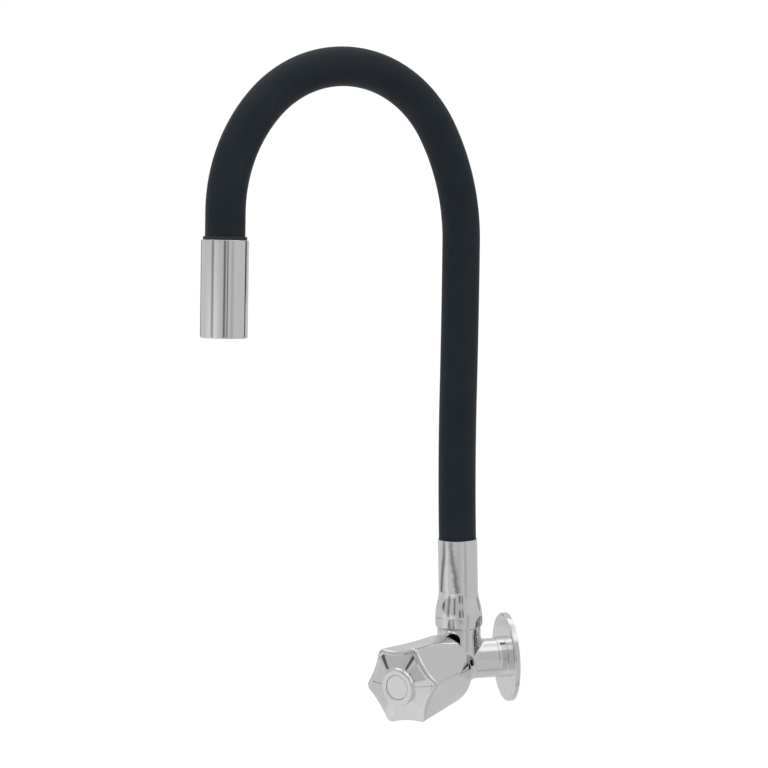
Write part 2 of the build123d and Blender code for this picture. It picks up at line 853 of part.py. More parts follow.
def aerator_places():
    """Distances along the outlet: gasket, housing, and the housing's open end."""
    gasket = outlet_hose_depth + adapter_length
    housing = gasket + aerator_gasket_thickness
    return gasket, housing, outlet_length - aerator_recess


def make_aerator_gasket():
    """Rubber washer between the adapter and the aerator."""
    gasket, housing, end = aerator_places()
    return tube(
        outlet_plane(), gasket, housing, aerator_radius, aerator_radius - aerator_gasket_width
    )


def make_aerator_housing():
    """Screwed ring that holds the flow disc and the screens."""
    gasket, housing, end = aerator_places()
    bore = aerator_radius - aerator_wall
    ring = tube(outlet_plane(), housing, end, aerator_radius, bore - aerator_lip)
    return ring - tube(outlet_plane(), housing, end - 1.2, bore)


def make_flow_disc():
    """Perforated disc that splits the water into jets."""
    gasket, housing, end = aerator_places()
    radius = aerator_radius - aerator_wall - thread_gap
    disc = tube(outlet_plane(), housing, housing + flow_disc_thickness, radius)
    for index in range(flow_disc_holes):
        place = Pos(*on_circle(radius * 0.62, index * 360 / flow_disc_holes))
        hole = place * Cylinder(flow_hole_radius, 4 * (housing + flow_disc_thickness))
        disc -= outlet_plane().location * hole
    return disc


def make_screens():
    """Two fine screens that mix air into the water."""
    gasket, housing, end = aerator_places()
    radius = aerator_radius - aerator_wall - thread_gap
    floor = end - 1.2
    screens = [
        tube(outlet_plane(), floor - screen_thickness - drop, floor - drop, radius)
        for drop in (0, screen_spacing)
    ]
    return Compound(children=screens)


def build_parts():
    """Every piece in its place, by name."""
    parts = {
        "valve_body": make_valve_body(),
        "wall_flange": make_wall_flange(),
        "grub_screw": make_grub_screw(),
        "glide_washer": make_glide_washer(),
        "bonnet": make_bonnet(),
        "bonnet_gasket": make_bonnet_gasket(),
        "jumper": make_jumper(),
        "seat_washer": make_seat_washer(),
        "washer_screw": make_washer_screw(),
        "spindle": make_spindle(),
        "spindle_o_rings": make_spindle_rings(),
        "spindle_circlip": make_circlip(),
        "knob": make_knob(),
        "knob_screw": make_knob_screw(),
        "index_cap": make_index_cap(),
        "swivel_spigot": make_swivel_spigot(),
        "spigot_o_rings": make_spigot_rings(),
        "neck_sleeve": make_neck_sleeve(),
        "lower_ferrule": make_lower_ferrule(),
        "upper_ferrule": make_upper_ferrule(),
        "outlet_adapter": make_outlet_adapter(),
        "mouth_ring": make_mouth_ring(),
        "outlet_shell": make_outlet_shell(),
        "aerator_gasket": make_aerator_gasket(),
        "aerator_housing": make_aerator_housing(),
        "flow_disc": make_flow_disc(),
        "aerator_screens": make_screens(),
    }
    for index in range(len(span_lengths)):
        parts[f"silicone_sleeve_{index + 1}"] = make_sleeve_span(index)
        parts[f"gooseneck_core_{index + 1}"] = make_core_span(index)
        parts[f"water_tube_{index + 1}"] = make_water_span(index)
    return parts


def main():
    """Write one STEP file per piece and print where the hose bends."""
    os.makedirs("parts", exist_ok=True)
    for name, shape in build_parts().items():
        export_step(shape, f"parts/{name}.step")
    for number, (point, heading) in enumerate(hose_stations()):
        print("hose joint", number, [round(value, 3) for value in point], round(heading, 2))


main()
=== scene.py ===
import json
from math import atan2, cos, pi, radians, sin, sqrt

import bmesh
import bpy
from mathutils import Matrix, Vector


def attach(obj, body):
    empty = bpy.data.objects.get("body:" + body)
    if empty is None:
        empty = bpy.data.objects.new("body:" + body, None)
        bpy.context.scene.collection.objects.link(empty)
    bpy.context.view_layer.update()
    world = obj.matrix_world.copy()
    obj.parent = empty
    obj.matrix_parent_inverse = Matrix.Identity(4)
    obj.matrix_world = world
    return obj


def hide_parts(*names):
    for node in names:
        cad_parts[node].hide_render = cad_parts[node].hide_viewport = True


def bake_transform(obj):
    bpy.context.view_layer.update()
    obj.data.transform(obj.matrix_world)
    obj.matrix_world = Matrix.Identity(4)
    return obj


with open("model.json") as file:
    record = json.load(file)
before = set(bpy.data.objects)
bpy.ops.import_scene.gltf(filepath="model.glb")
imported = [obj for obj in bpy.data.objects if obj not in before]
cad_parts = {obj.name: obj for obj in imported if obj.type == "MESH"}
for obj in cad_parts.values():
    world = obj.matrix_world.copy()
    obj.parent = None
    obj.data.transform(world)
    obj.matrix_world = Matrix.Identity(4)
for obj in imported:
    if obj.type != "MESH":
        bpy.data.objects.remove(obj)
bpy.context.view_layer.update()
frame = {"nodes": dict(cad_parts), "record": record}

# Sizes are in millimetres until a piece is finished, and metres after that and in the studio
MM = 0.001

# Where the axes of the inlet and the boss cross, and the directions of the valve and the spout
WALL_DISTANCE = 27.6
CENTRE = Vector((0, -WALL_DISTANCE, 0))
VALVE_DROP = 1.2  # valve axis below the inlet's
VALVE_ANGLE = radians(45.0)
SPOUT_ANGLE = radians(18.0)
VALVE_AXIS = Vector((sin(VALVE_ANGLE), -cos(VALVE_ANGLE), 0))
SPOUT_OUT = Vector((sin(SPOUT_ANGLE), -cos(SPOUT_ANGLE), 0))
SPOUT_NORMAL = Vector((-cos(SPOUT_ANGLE), -sin(SPOUT_ANGLE), 0))
UP = Vector((0, 0, 1))

# Hose: a chain of gentle curves from the neck's rim, each with its length and turn
HOSE_RADIUS = 10.0
SPAN_LENGTHS = (80.0, 80.0, 61.0, 57.0, 59.5, 59.5)
SPAN_TURNS = (2.8, -0.9, -30.5, -53.3, -53.5, -42.0)
NECK_TOP = 65.3
NECK_HOSE_SEAT = 42.0
HOSE_STRAIGHT_END = 14.0
HOSE_IN_OUTLET = 10.0

# Fineness of the meshes
ROUND_STEPS = 160
FLANGE_STEPS = 200
ROUNDING_STEPS = 4
HOSE_SIDES = 72
HOSE_STEP = 2.5  # length of one row of faces along the hose


def axis_frame(origin, direction, up_hint=UP):
    """Matrix whose Z axis runs along a direction, for pieces turned on that axis."""
    z = direction.normalized()
    side = up_hint - z * up_hint.dot(z)
    x = side.normalized() if side.length > 0.01 else Vector((1, 0, 0))
    y = z.cross(x)
    return Matrix.Translation(origin) @ Matrix((x, y, z)).transposed().to_4x4()


INLET = axis_frame(CENTRE, Vector((0, 1, 0)))
BOSS = axis_frame(CENTRE, UP)
VALVE = axis_frame(CENTRE - UP * VALVE_DROP, VALVE_AXIS)


def hose_stations():
    """Point and heading at each joint of the hose, from the neck to the last curve's end."""
    point = CENTRE + UP * NECK_TOP
    heading = pi / 2
    stations = [(point, heading)]
    for length, turn in zip(SPAN_LENGTHS, SPAN_TURNS):
        point, heading = further(point, heading, length, radians(turn))
        stations.append((point, heading))
    return stations


def further(point, heading, length, turn):
    """Point and heading after a steady curve of that length and turn."""
    chord = length * sin(turn / 2) / (turn / 2)
    return point + along(heading + turn / 2) * chord, heading + turn


def along(heading):
    """Direction of the hose at a heading in the spout's plane."""
    return SPOUT_OUT * cos(heading) + UP * sin(heading)


STATIONS = hose_stations()
LAST_POINT, LAST_HEADING = STATIONS[-1]
RIM_POINT = LAST_POINT + along(LAST_HEADING) * HOSE_STRAIGHT_END
OUTLET = axis_frame(RIM_POINT, along(LAST_HEADING), SPOUT_NORMAL)


# Materials

RIPPLE_DEPTH = 0.001  # in metres, as Object coordinates are
GRAIN_DEPTH = 0.0002


def node(tree, kind, place=(0, 0), **settings):
    """A node with its plain settings and socket values given by name."""
    made = tree.nodes.new(kind)
    made.location = place
    for key, value in settings.items():
        if hasattr(made, key):
            setattr(made, key, value)
        else:
            made.inputs[key.replace("_", " ")].default_value = value
    return made


def new_group(name, inputs, outputs):
    """An empty node group with float inputs and outputs made by name."""
    group = bpy.data.node_groups.new(name, "ShaderNodeTree")
    for label, value in inputs:
        socket = group.interface.new_socket(label, in_out="INPUT", socket_type="NodeSocketFloat")
        socket.default_value = value
    for label in outputs:
        group.interface.new_socket(label, in_out="OUTPUT", socket_type="NodeSocketFloat")
    return group, node(group, "NodeGroupInput"), node(group, "NodeGroupOutput")


def polish_group():
    """Faint polishing haze: slow patches and fine hairlines in the roughness, and a slow ripple."""
    group, start, end = new_group(
        "polish_haze",
        [("Base", 0.05), ("Haze", 0.03), ("Patch Scale", 60.0), ("Line Scale", 900.0)],
        ["Roughness", "Ripple"],
    )
    coords = node(group, "ShaderNodeTexCoord")
    patches = node(group, "ShaderNodeTexNoise", Detail=3.0)
    lines = node(group, "ShaderNodeTexNoise", Detail=2.0)
    stretch = node(group, "ShaderNodeMapping", Scale=(1.0, 1.0, 0.06))
    mixed = node(group, "ShaderNodeMath", operation="MULTIPLY")
    haze = node(group, "ShaderNodeMath", operation="MULTIPLY_ADD")
    link = group.links.new
    link(coords.outputs["Object"], patches.inputs["Vector"])
    link(coords.outputs["Object"], stretch.inputs["Vector"])
    link(stretch.outputs["Vector"], lines.inputs["Vector"])
    link(start.outputs["Patch Scale"], patches.inputs["Scale"])
    link(start.outputs["Line Scale"], lines.inputs["Scale"])
    link(patches.outputs["Fac"], mixed.inputs[0])
    link(lines.outputs["Fac"], mixed.inputs[1])
    link(mixed.outputs["Value"], haze.inputs[0])
    link(start.outputs["Haze"], haze.inputs[1])
    link(start.outputs["Base"], haze.inputs[2])
    link(haze.outputs["Value"], end.inputs["Roughness"])
    link(patches.outputs["Fac"], end.inputs["Ripple"])
    return group


def grain_group():
    """Moulded grain: a fine height pattern and slow patches that vary the colour."""
    group, start, end = new_group(
        "moulded_grain",
        [("Grain Scale", 1800.0), ("Patch Scale", 45.0)],
        ["Height", "Patches"],
    )
    coords = node(group, "ShaderNodeTexCoord")
    grain = node(group, "ShaderNodeTexNoise", Detail=4.0, Roughness=0.6)
    patches = node(group, "ShaderNodeTexNoise", Detail=2.0)
    link = group.links.new
    link(coords.outputs["Object"], grain.inputs["Vector"])
    link(coords.outputs["Object"], patches.inputs["Vector"])
    link(start.outputs["Grain Scale"], grain.inputs["Scale"])
    link(start.outputs["Patch Scale"], patches.inputs["Scale"])
    link(grain.outputs["Fac"], end.inputs["Height"])
    link(patches.outputs["Fac"], end.inputs["Patches"])
    return group


POLISH = polish_group()
GRAIN = grain_group()


def new_material(name):
    """A material with its tree and its shader."""
    material = bpy.data.materials.new(name)
    material.use_nodes = True
    tree = material.node_tree
    return material, tree, tree.nodes["Principled BSDF"]


def metal(name, colour, base, haze, ripple=0.0, line_scale=900.0):
    """A polished or turned metal with the haze that wiping leaves."""
    material, tree, shader = new_material(name)
    shader.inputs["Base Color"].default_value = (*colour, 1)
    shader.inputs["Metallic"].default_value = 1.0
    finish = node(tree, "ShaderNodeGroup", (-600, 0), node_tree=POLISH)
    finish.inputs["Base"].default_value = base
    finish.inputs["Haze"].default_value = haze
    finish.inputs["Line Scale"].default_value = line_scale
    tree.links.new(finish.outputs["Roughness"], shader.inputs["Roughness"])
    if ripple > 0:
        bump = node(tree, "ShaderNodeBump", (-300, -200), Strength=ripple, Distance=RIPPLE_DEPTH)
        tree.links.new(finish.outputs["Ripple"], bump.inputs["Height"])
        tree.links.new(bump.outputs["Normal"], shader.inputs["Normal"])
    return material


def moulded(name, dark, light, roughness, grain, specular=0.5):
    """A moulded rubber or plastic with fine grain and a slight drift of colour."""
    material, tree, shader = new_material(name)
    shader.inputs["Roughness"].default_value = roughness
    shader.inputs["Specular IOR Level"].default_value = specular
    surface = node(tree, "ShaderNodeGroup", (-900, 0), node_tree=GRAIN)
    ramp = node(tree, "ShaderNodeValToRGB", (-600, 200))
    ramp.color_ramp.elements[0].position = 0.35
    ramp.color_ramp.elements[0].color = (*dark, 1)
    ramp.color_ramp.elements[1].position = 0.65
    ramp.color_ramp.elements[1].color = (*light, 1)
    bump = node(tree, "ShaderNodeBump", (-300, -200), Strength=grain, Distance=GRAIN_DEPTH)
    tree.links.new(surface.outputs["Patches"], ramp.inputs["Fac"])
    tree.links.new(ramp.outputs["Color"], shader.inputs["Base Color"])
    tree.links.new(surface.outputs["Height"], bump.inputs["Height"])
    tree.links.new(bump.outputs["Normal"], shader.inputs["Normal"])
    return material


# The finish of each material slot, with the darkest and lightest colour of the moulded ones
MATERIALS = {
    "chrome": metal("polished_chrome", (0.832, 0.837, 0.826), base=0.045, haze=0.05, ripple=0.04),
    "brass": metal("turned_brass", (0.72, 0.52, 0.23), base=0.16, haze=0.18, line_scale=1600.0),
    "steel": metal("bright_steel", (0.55, 0.55, 0.56), base=0.22, haze=0.2, line_scale=2000.0),
    "black_steel": metal("black_oxide_steel", (0.012, 0.012, 0.013), base=0.32, haze=0.1),
    "silicone": moulded(
        "black_silicone",
        (0.0042, 0.0078, 0.0118),
        (0.0056, 0.0099, 0.0146),
        roughness=0.5,
        grain=0.1,
        specular=0.2,
    ),
    "black_rubber": moulded(
        "black_rubber", (0.006, 0.006, 0.007), (0.01, 0.01, 0.011), roughness=0.48, grain=0.06
    ),
    "fibre": moulded(
        "red_fibre", (0.2, 0.035, 0.02), (0.28, 0.05, 0.03), roughness=0.7, grain=0.2
    ),
    "white_plastic": moulded(
        "white_plastic", (0.72, 0.72, 0.7), (0.78, 0.78, 0.76), roughness=0.42, grain=0.05
    ),
}


# Making pieces

def verts_of(edges):
    """The corners of some edges, each once."""
    return list(dict.fromkeys(vert for edge in edges for vert in edge.verts))


def edges_in(items):
    """The edges among what an operator made."""
    return [item for item in items if isinstance(item, bmesh.types.BMEdge)]


def verts_in(items):
    """The corners among what an operator made."""
    return [item for item in items if isinstance(item, bmesh.types.BMVert)]


def open_ring(bm, radius, sides, place=Matrix.Identity(4)):
    """Edges of a new circle, ready to be drawn out into a tube."""
    verts = bmesh.ops.create_circle(
        bm, cap_ends=False, radius=radius, segments=sides, matrix=place
    )["verts"]
    return list(dict.fromkeys(edge for vert in verts for edge in vert.link_edges))


def finished(bm, name, slot, place=Matrix.Identity(4), smooth_angle=35.0, weighted=False):
    """Object from a mesh drawn in millimetres in its own axes."""
    bmesh.ops.remove_doubles(bm, verts=bm.verts, dist=0.001)
    bmesh.ops.transform(bm, matrix=Matrix.Scale(MM, 4) @ place, verts=bm.verts)
    mesh = bpy.data.meshes.new(name)
    bm.to_mesh(mesh)
    bm.free()
    mesh.polygons.foreach_set("use_smooth", [True] * len(mesh.polygons))
    mesh.set_sharp_from_angle(angle=radians(smooth_angle))
    piece = bpy.data.objects.new(name, mesh)
    bpy.context.collection.objects.link(piece)
    mesh.materials.append(MATERIALS[slot])
    if weighted:
        modifier = piece.modifiers.new("even_shading", "WEIGHTED_NORMAL")
        modifier.keep_sharp = True
    return piece


def lathed(name, outline, slot, place, steps=ROUND_STEPS):
    """A finished turned piece from a closed outline of radius, height and the corner's rounding."""
    bm = bmesh.new()
    corners = [bm.verts.new((radius, 0, height)) for radius, height, rounding in outline]
    for corner, following in zip(corners, corners[1:] + corners[:1]):
        bm.edges.new((corner, following))
    alike = {}
    for corner, (radius, height, rounding) in zip(corners, outline):
        if rounding > 0:
            alike.setdefault(rounding, []).append(corner)
    for rounding, verts in alike.items():
        bmesh.ops.bevel(
            bm,
            geom=verts,
            offset=rounding,
            offset_type="OFFSET",
            affect="VERTICES",
            segments=ROUNDING_STEPS,
            profile=0.5,
            material=-1,
        )
    bmesh.ops.spin(
        bm,
        geom=bm.edges[:] + bm.verts[:],
        cent=(0, 0, 0),
        axis=(0, 0, 1),
        angle=2 * pi,
        steps=steps,
        use_merge=True,
    )
    bmesh.ops.recalc_face_normals(bm, faces=bm.faces)
    return finished(bm, name, slot, place, smooth_angle=50.0, weighted=True)


# The hose's sleeve, in pieces that each run over one joint

def sweep_on(bm, ring, point, heading, length, turn):
    """Carries the open ring along a steady curve or a straight run and returns the new ring."""
    steps = max(1, round(length / HOSE_STEP))
    if turn == 0:
        for step in range(steps):
            made = bmesh.ops.extrude_edge_only(bm, edges=ring)["geom"]
            bmesh.ops.translate(bm, vec=along(heading) * length / steps, verts=verts_in(made))
            ring = edges_in(made)
        return ring
    side = 1 if turn > 0 else -1
    made = bmesh.ops.spin(
        bm,
        geom=ring + verts_of(ring),
        cent=point + along(heading + side * pi / 2) * length / abs(turn),
        axis=SPOUT_NORMAL * side,
        angle=abs(turn),
        steps=steps,
    )["geom_last"]
    return edges_in(made)


def sleeve_piece(joint):
    """Sleeve from the middle of one span to the middle of the next, over a joint.

    The first piece starts at its seat in the neck, and the last one ends inside the outlet.
    """
    bm = bmesh.new()
    length = SPAN_LENGTHS[joint - 1]
    turn = radians(SPAN_TURNS[joint - 1])
    point, heading = STATIONS[joint - 1]
    if joint == 1:
        seat = CENTRE + UP * NECK_HOSE_SEAT
        ring = open_ring(bm, HOSE_RADIUS, HOSE_SIDES, axis_frame(seat, along(heading), SPOUT_NORMAL))
        ring = sweep_on(bm, ring, seat, heading, NECK_TOP - NECK_HOSE_SEAT, 0)
        ring = sweep_on(bm, ring, point, heading, length, turn)
    else:
        point, heading = further(point, heading, length / 2, turn / 2)
        start = axis_frame(point, along(heading), SPOUT_NORMAL)
        ring = open_ring(bm, HOSE_RADIUS, HOSE_SIDES, start)
        ring = sweep_on(bm, ring, point, heading, length / 2, turn / 2)
    point, heading = STATIONS[joint]
    length = SPAN_LENGTHS[joint]
    turn = radians(SPAN_TURNS[joint])
    if joint == len(SPAN_LENGTHS) - 1:
        ring = sweep_on(bm, ring, point, heading, length, turn)
        ring = sweep_on(bm, ring, *STATIONS[-1], HOSE_STRAIGHT_END + HOSE_IN_OUTLET, 0)
    else:
        ring = sweep_on(bm, ring, point, heading, length / 2, turn / 2)
    bmesh.ops.recalc_face_normals(bm, faces=bm.faces)
    return finished(bm, f"sleeve_bend_{joint}", "silicone", smooth_angle=180.0)


def dress_hose():
    """Every piece of the sleeve, made over its joint in place of the CAD sleeves."""
    for joint in range(1, len(SPAN_LENGTHS)):
        piece = sleeve_piece(joint)
        if joint == 1:
            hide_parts("silicone_sleeve_1", "silicone_sleeve_2")
        else:
            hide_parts(f"silicone_sleeve_{joint + 1}")
        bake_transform(piece)


# Neck, outlet and flange

def dress_neck():
    """Bottle-shaped sleeve with a soft shoulder and a thin rim round the hose."""
    foot = 18.75
    foot_radius = 12.74
    foot_edge = 1.1
    mouth_radius = 10.9
    spigot_bore = 9.0
    shoulder = 5.6  # above the foot
    shoulder_rise = 14.2
    tube_radius = 10.59
    hose_bore = 10.04
    rim = NECK_TOP + 1.0
    edge_rows = 6
    shoulder_rows = 18
    outline = [(mouth_radius, foot, 0.1)]
    for row in range(edge_rows + 1):
        turn = pi / 2 * row / edge_rows
        radius = foot_radius - foot_edge * (1 - sin(turn))
        outline.append((radius, foot + foot_edge * (1 - cos(turn)), 0))
    for row in range(shoulder_rows + 1):
        share = row / shoulder_rows
        ease = share * share * (3 - 2 * share)
        radius = foot_radius - (foot_radius - tube_radius) * ease
        outline.append((radius, foot + shoulder + shoulder_rise * share, 0))
    outline += [
        (tube_radius, rim, 0.2),
        (hose_bore, rim, 0.1),
        (hose_bore, NECK_HOSE_SEAT - 8, 0.1),
        (spigot_bore, NECK_HOSE_SEAT - 12, 0.1),
        (spigot_bore, foot + 2, 0.1),
    ]
    neck = lathed("neck_shell", outline, "chrome", BOSS)
    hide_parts("neck_sleeve")
    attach(neck, "spout_foot")


def dress_outlet():
    """Outlet tube: its rim takes the black ring, and its mouth the aerator."""
    rim_depth = 2.5
    ring_seat = 11.02
    hose_bore = 10.05
    hose_stop = 38.0
    radius = 11.89
    mouth = 48.5
    mouth_bore = 11.0
    mouth_depth = 40.0
    shell = [
        (hose_bore, rim_depth, 0.05),
        (ring_seat, rim_depth, 0.05),
        (ring_seat, 0, 0.1),
        (radius, 0, 0.35),
        (radius, mouth, 0.8),
        (mouth_bore, mouth, 0.15),
        (mouth_bore, mouth_depth, 0.05),
        (hose_bore, hose_stop, 0.05),
    ]
    outlet = lathed("outlet_tube", shell, "chrome", OUTLET)
    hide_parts("outlet_shell")
    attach(outlet, "outlet")


def dress_mouth_ring():
    """Black ring where the hose enters the outlet."""
    bore = 10.03
    radius = 10.95
    top = -1.75
    foot = 2.45
    ring = [(bore, top, 0.2), (radius, top, 0.35), (radius, foot, 0.1), (bore, foot, 0.1)]
    band = lathed("mouth_band", ring, "black_rubber", OUTLET)
    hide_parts("mouth_ring")
    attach(band, "outlet")


def dress_aerator():
    """White housing seen in the outlet's mouth, with a lip that holds the screens."""
    back = 35.55
    lip = 46.55
    front = 47.7
    radius = 10.9
    bore = 9.15
    lip_bore = 8.2
    housing = [
        (lip_bore, lip, 0.1),
        (lip_bore, front, 0.3),
        (radius, front, 0.3),
        (radius, back, 0.1),
        (bore, back, 0.1),
        (bore, lip, 0.1),
    ]
    body = lathed("aerator_ring", housing, "white_plastic", OUTLET)
    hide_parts("aerator_housing")
    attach(body, "outlet")


def dress_flange():
    """Pressed cover plate: rounded rim, hollow back, and a collar round the inlet."""
    rim = 23.8
    depth = 3.3
    sheet = 0.9  # thickness of the pressed plate
    bore = 10.53
    collar = 11.05
    collar_length = 4.5
    back = WALL_DISTANCE
    front = back - depth
    outline = [
        (bore, front - collar_length, 0.1),
        (collar, front - collar_length, 0.2),
        (collar, front, 0.35),
        (rim, front, 1.2),
        (rim, back, 0.2),
        (rim - sheet, back, 0.15),
        (rim - sheet, front + sheet, 0.5),
        (bore, front + sheet, 0.1),
    ]
    flange = lathed("cover_plate", outline, "chrome", INLET, steps=FLANGE_STEPS)
    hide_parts("wall_flange")
    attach(flange, "tap_body")


# Star knob

KNOB_POINTS = 6
HALF_STEP = pi / KNOB_POINTS
KNOB_TURNED = radians(37.4)
KNOB_WALL = 1.6
KNOB_BACK = 16.4
STAR_PLANE = 58.0
POINT_RADIUS = 21.7
VALLEY_RADIUS = 18.2
SKIRT_RADIUS = 18.4
TIP_ROUND = 3.2
BACK_EDGE = 2.4
FACET_SLOPE = 0.293
FACET_HOLLOW = 0.5
FACE_EASE = 2.6  # width of the roll-over between the face and the sides
EASE_DEPTH = 1.5
RIDGE_WIDTH = radians(20.0)  # half the rounding of the ridges between the facets
RIDGE_SOFTNESS = 0.128
HUB_RADIUS = 10.6
HUB_FOOT = 61.0  # only the hub rises above this
CAP_RADIUS = 6.27
CAP_TOP = 62.1
CAP_SEAT = 58.0
KNOB_COLUMNS = 36 * KNOB_POINTS
BACK_ROWS = 12
SIDE_ROWS = 30
RIM_ROWS = 10
FACE_ROWS = 14

# Skirt from its inner edge over the back's small rounding
SKIRT_OUTLINE = ((15.6, KNOB_BACK + 0.3), (15.75, KNOB_BACK + 0.08), (15.95, KNOB_BACK))

# Hub from the soft foot of its step over the rounded shoulder and down to the cap's seat
HUB_OUTLINE = (
    (10.3, 60.84), (10.08, 60.93), (9.9, 61.06), (9.78, 61.26), (9.7, 61.55), (9.6, 61.84),
    (9.42, 62.08), (9.15, 62.26), (8.8, 62.37), (8.4, 62.4), (6.75, 62.4), (6.5, 62.33),
    (6.36, 62.18), (6.33, 61.9), (6.33, CAP_SEAT),
)


def star_radius(angle, point, valley):
    """Distance to an outline of hollow sides that run smoothly into rounded points."""
    if valley > point - 0.02:
        return point
    from_point = (angle + HALF_STEP) % (2 * HALF_STEP) - HALF_STEP
    tip = point - TIP_ROUND
    dip = valley - TIP_ROUND
    centre = (tip**2 - dip**2) / (2 * (tip * cos(HALF_STEP) - dip))
    hollow = centre - valley
    share = TIP_ROUND / (TIP_ROUND + hollow)
    across = tip + (centre * cos(HALF_STEP) - tip) * share
    aside = centre * sin(HALF_STEP) * share
    if abs(from_point) < atan2(aside, across):
        return tip * cos(from_point) + sqrt(TIP_ROUND**2 - (tip * sin(from_point)) ** 2)
    from_valley = HALF_STEP - abs(from_point)
    chord = sqrt(hollow**2 - (centre * sin(from_valley)) ** 2)
    return centre * cos(from_valley) + (chord if hollow < 0 else -chord)


def knob_radius(angle, height):
    """Side of the knob: a star at the front that fades into a round skirt with a soft back edge."""
    share = (height - KNOB_BACK) / (STAR_PLANE - KNOB_BACK)
    point = SKIRT_RADIUS + (POINT_RADIUS - SKIRT_RADIUS) * share
    valley = SKIRT_RADIUS + (VALLEY_RADIUS - SKIRT_RADIUS) * share
    radius = star_radius(angle, point, valley)
    left = BACK_EDGE - (height - KNOB_BACK)
    if left > 0:
        radius = min(radius, SKIRT_RADIUS - BACK_EDGE + sqrt(BACK_EDGE**2 - left**2))
    return radius


def face_height(angle, radius):
    """Front of the knob: six shallow facets that climb from the star's edge to the hub."""
    from_valley = angle % (2 * HALF_STEP) - HALF_STEP
    reach = radius * cos(from_valley) / cos(HALF_STEP)
    hollow = FACET_HOLLOW * radius / POINT_RADIUS * (1 - (from_valley / HALF_STEP) ** 2)
    near_ridge = max(0, 1 - (HALF_STEP - abs(from_valley)) / RIDGE_WIDTH)
    softened = RIDGE_SOFTNESS * RIDGE_WIDTH * radius * near_ridge**2
    return STAR_PLANE + FACET_SLOPE * (POINT_RADIUS - reach) - hollow - softened


def rim_point(angle, turn):
    """Rounded edge between the knob's side and its face."""
    low = STAR_PLANE - EASE_DEPTH
    side = knob_radius(angle, low)
    top = face_height(angle, side - FACE_EASE)
    return side - FACE_EASE * (1 - cos(turn)), low + (top - low) * sin(turn)


def face_point(angle, share):
    """A point on the face, from the rounded edge inward to the hub."""
    outer = knob_radius(angle, STAR_PLANE - EASE_DEPTH) - FACE_EASE
    radius = outer + (HUB_RADIUS - outer) * share
    return radius, face_height(angle, radius)


def knob_loops():
    """Rings of the knob from the skirt's inner edge round the outside to the cap's seat."""
    loops = []
    for radius, height in SKIRT_OUTLINE:
        loops.append(lambda angle, r=radius, h=height: (r, h))
    for index in range(BACK_ROWS + 1):
        height = KNOB_BACK + BACK_EDGE * (1 - cos(pi / 2 * index / BACK_ROWS))
        loops.append(lambda angle, h=height: (knob_radius(angle, h), h))
    first = KNOB_BACK + BACK_EDGE
    last = STAR_PLANE - EASE_DEPTH
    for index in range(1, SIDE_ROWS + 1):
        height = first + (last - first) * index / SIDE_ROWS
        loops.append(lambda angle, h=height: (knob_radius(angle, h), h))
    for index in range(1, RIM_ROWS + 1):
        loops.append(lambda angle, t=pi / 2 * index / RIM_ROWS: rim_point(angle, t))
    for index in range(1, FACE_ROWS + 1):
        loops.append(lambda angle, s=index / FACE_ROWS: face_point(angle, s))
    for radius, height in HUB_OUTLINE:
        loops.append(lambda angle, r=radius, h=height: (r, h))
    return loops


def dress_knob():
    """Hand wheel drawn ring by ring from one circle, with its face turned outwards."""
    bm = bmesh.new()
    ring = open_ring(bm, 1.0, KNOB_COLUMNS)
    for index, loop in enumerate(knob_loops()):
        if index > 0:
            ring = edges_in(bmesh.ops.extrude_edge_only(bm, edges=ring)["geom"])
        for vert in verts_of(ring):
            angle = atan2(vert.co.y, vert.co.x)
            radius, height = loop(angle)
            vert.co = (radius * cos(angle), radius * sin(angle), height)
    bmesh.ops.contextual_create(bm, geom=ring)
    bmesh.ops.recalc_face_normals(bm, faces=bm.faces)
    if sum(face.normal.z for face in bm.faces if face.calc_center_median().z > HUB_FOOT) < 0:
        bmesh.ops.reverse_faces(bm, faces=bm.faces)
    turned = VALVE @ Matrix.Rotation(KNOB_TURNED, 4, "Z")
    knob = finished(bm, "star_knob", "chrome", turned, smooth_angle=40.0)
    shell = knob.modifiers.new("wall", "SOLIDIFY")
    shell.thickness = KNOB_WALL * MM
    shell.offset = -1.0
    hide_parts("knob")
    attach(knob, "handle")


def dress_cap():
    """Bare disc in the knob's hub."""
    cap = [
        (0, CAP_TOP, 0),
        (CAP_RADIUS, CAP_TOP, 0.4),
        (CAP_RADIUS, CAP_SEAT, 0.1),
        (0, CAP_SEAT, 0),
    ]
    disc = lathed("hub_cap", cap, "chrome", VALVE)
    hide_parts("index_cap")
    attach(disc, "handle")


def finish_plain_nodes():
    """The other CAD nodes keep their shape and take the finish of their slot."""
    for part in frame["record"]["subparts"]:
        shape = frame["nodes"][part["node"]]
        if not shape.material_slots:
            shape.data.materials.append(None)
        for slot in shape.material_slots:
            slot.material = MATERIALS[part["material_slot"]]


# Floor and wall, with their sizes and places in metres

FLOOR_SIZE = 6.0
FLOOR_LEVEL = -0.16
WALL_SIZE = 1.2
WALL_LEVEL = 0.2
WALL_GAP = 0.0002  # behind the flange's flat back
SHEET_GREY = 0.86
SHEET_ROUGHNESS = 0.8
SHEET_WHITE = 1.05  # strength of the white that the camera sees
SHEET_WHITE_SHARE = 0.88  # the rest keeps the object's shadow


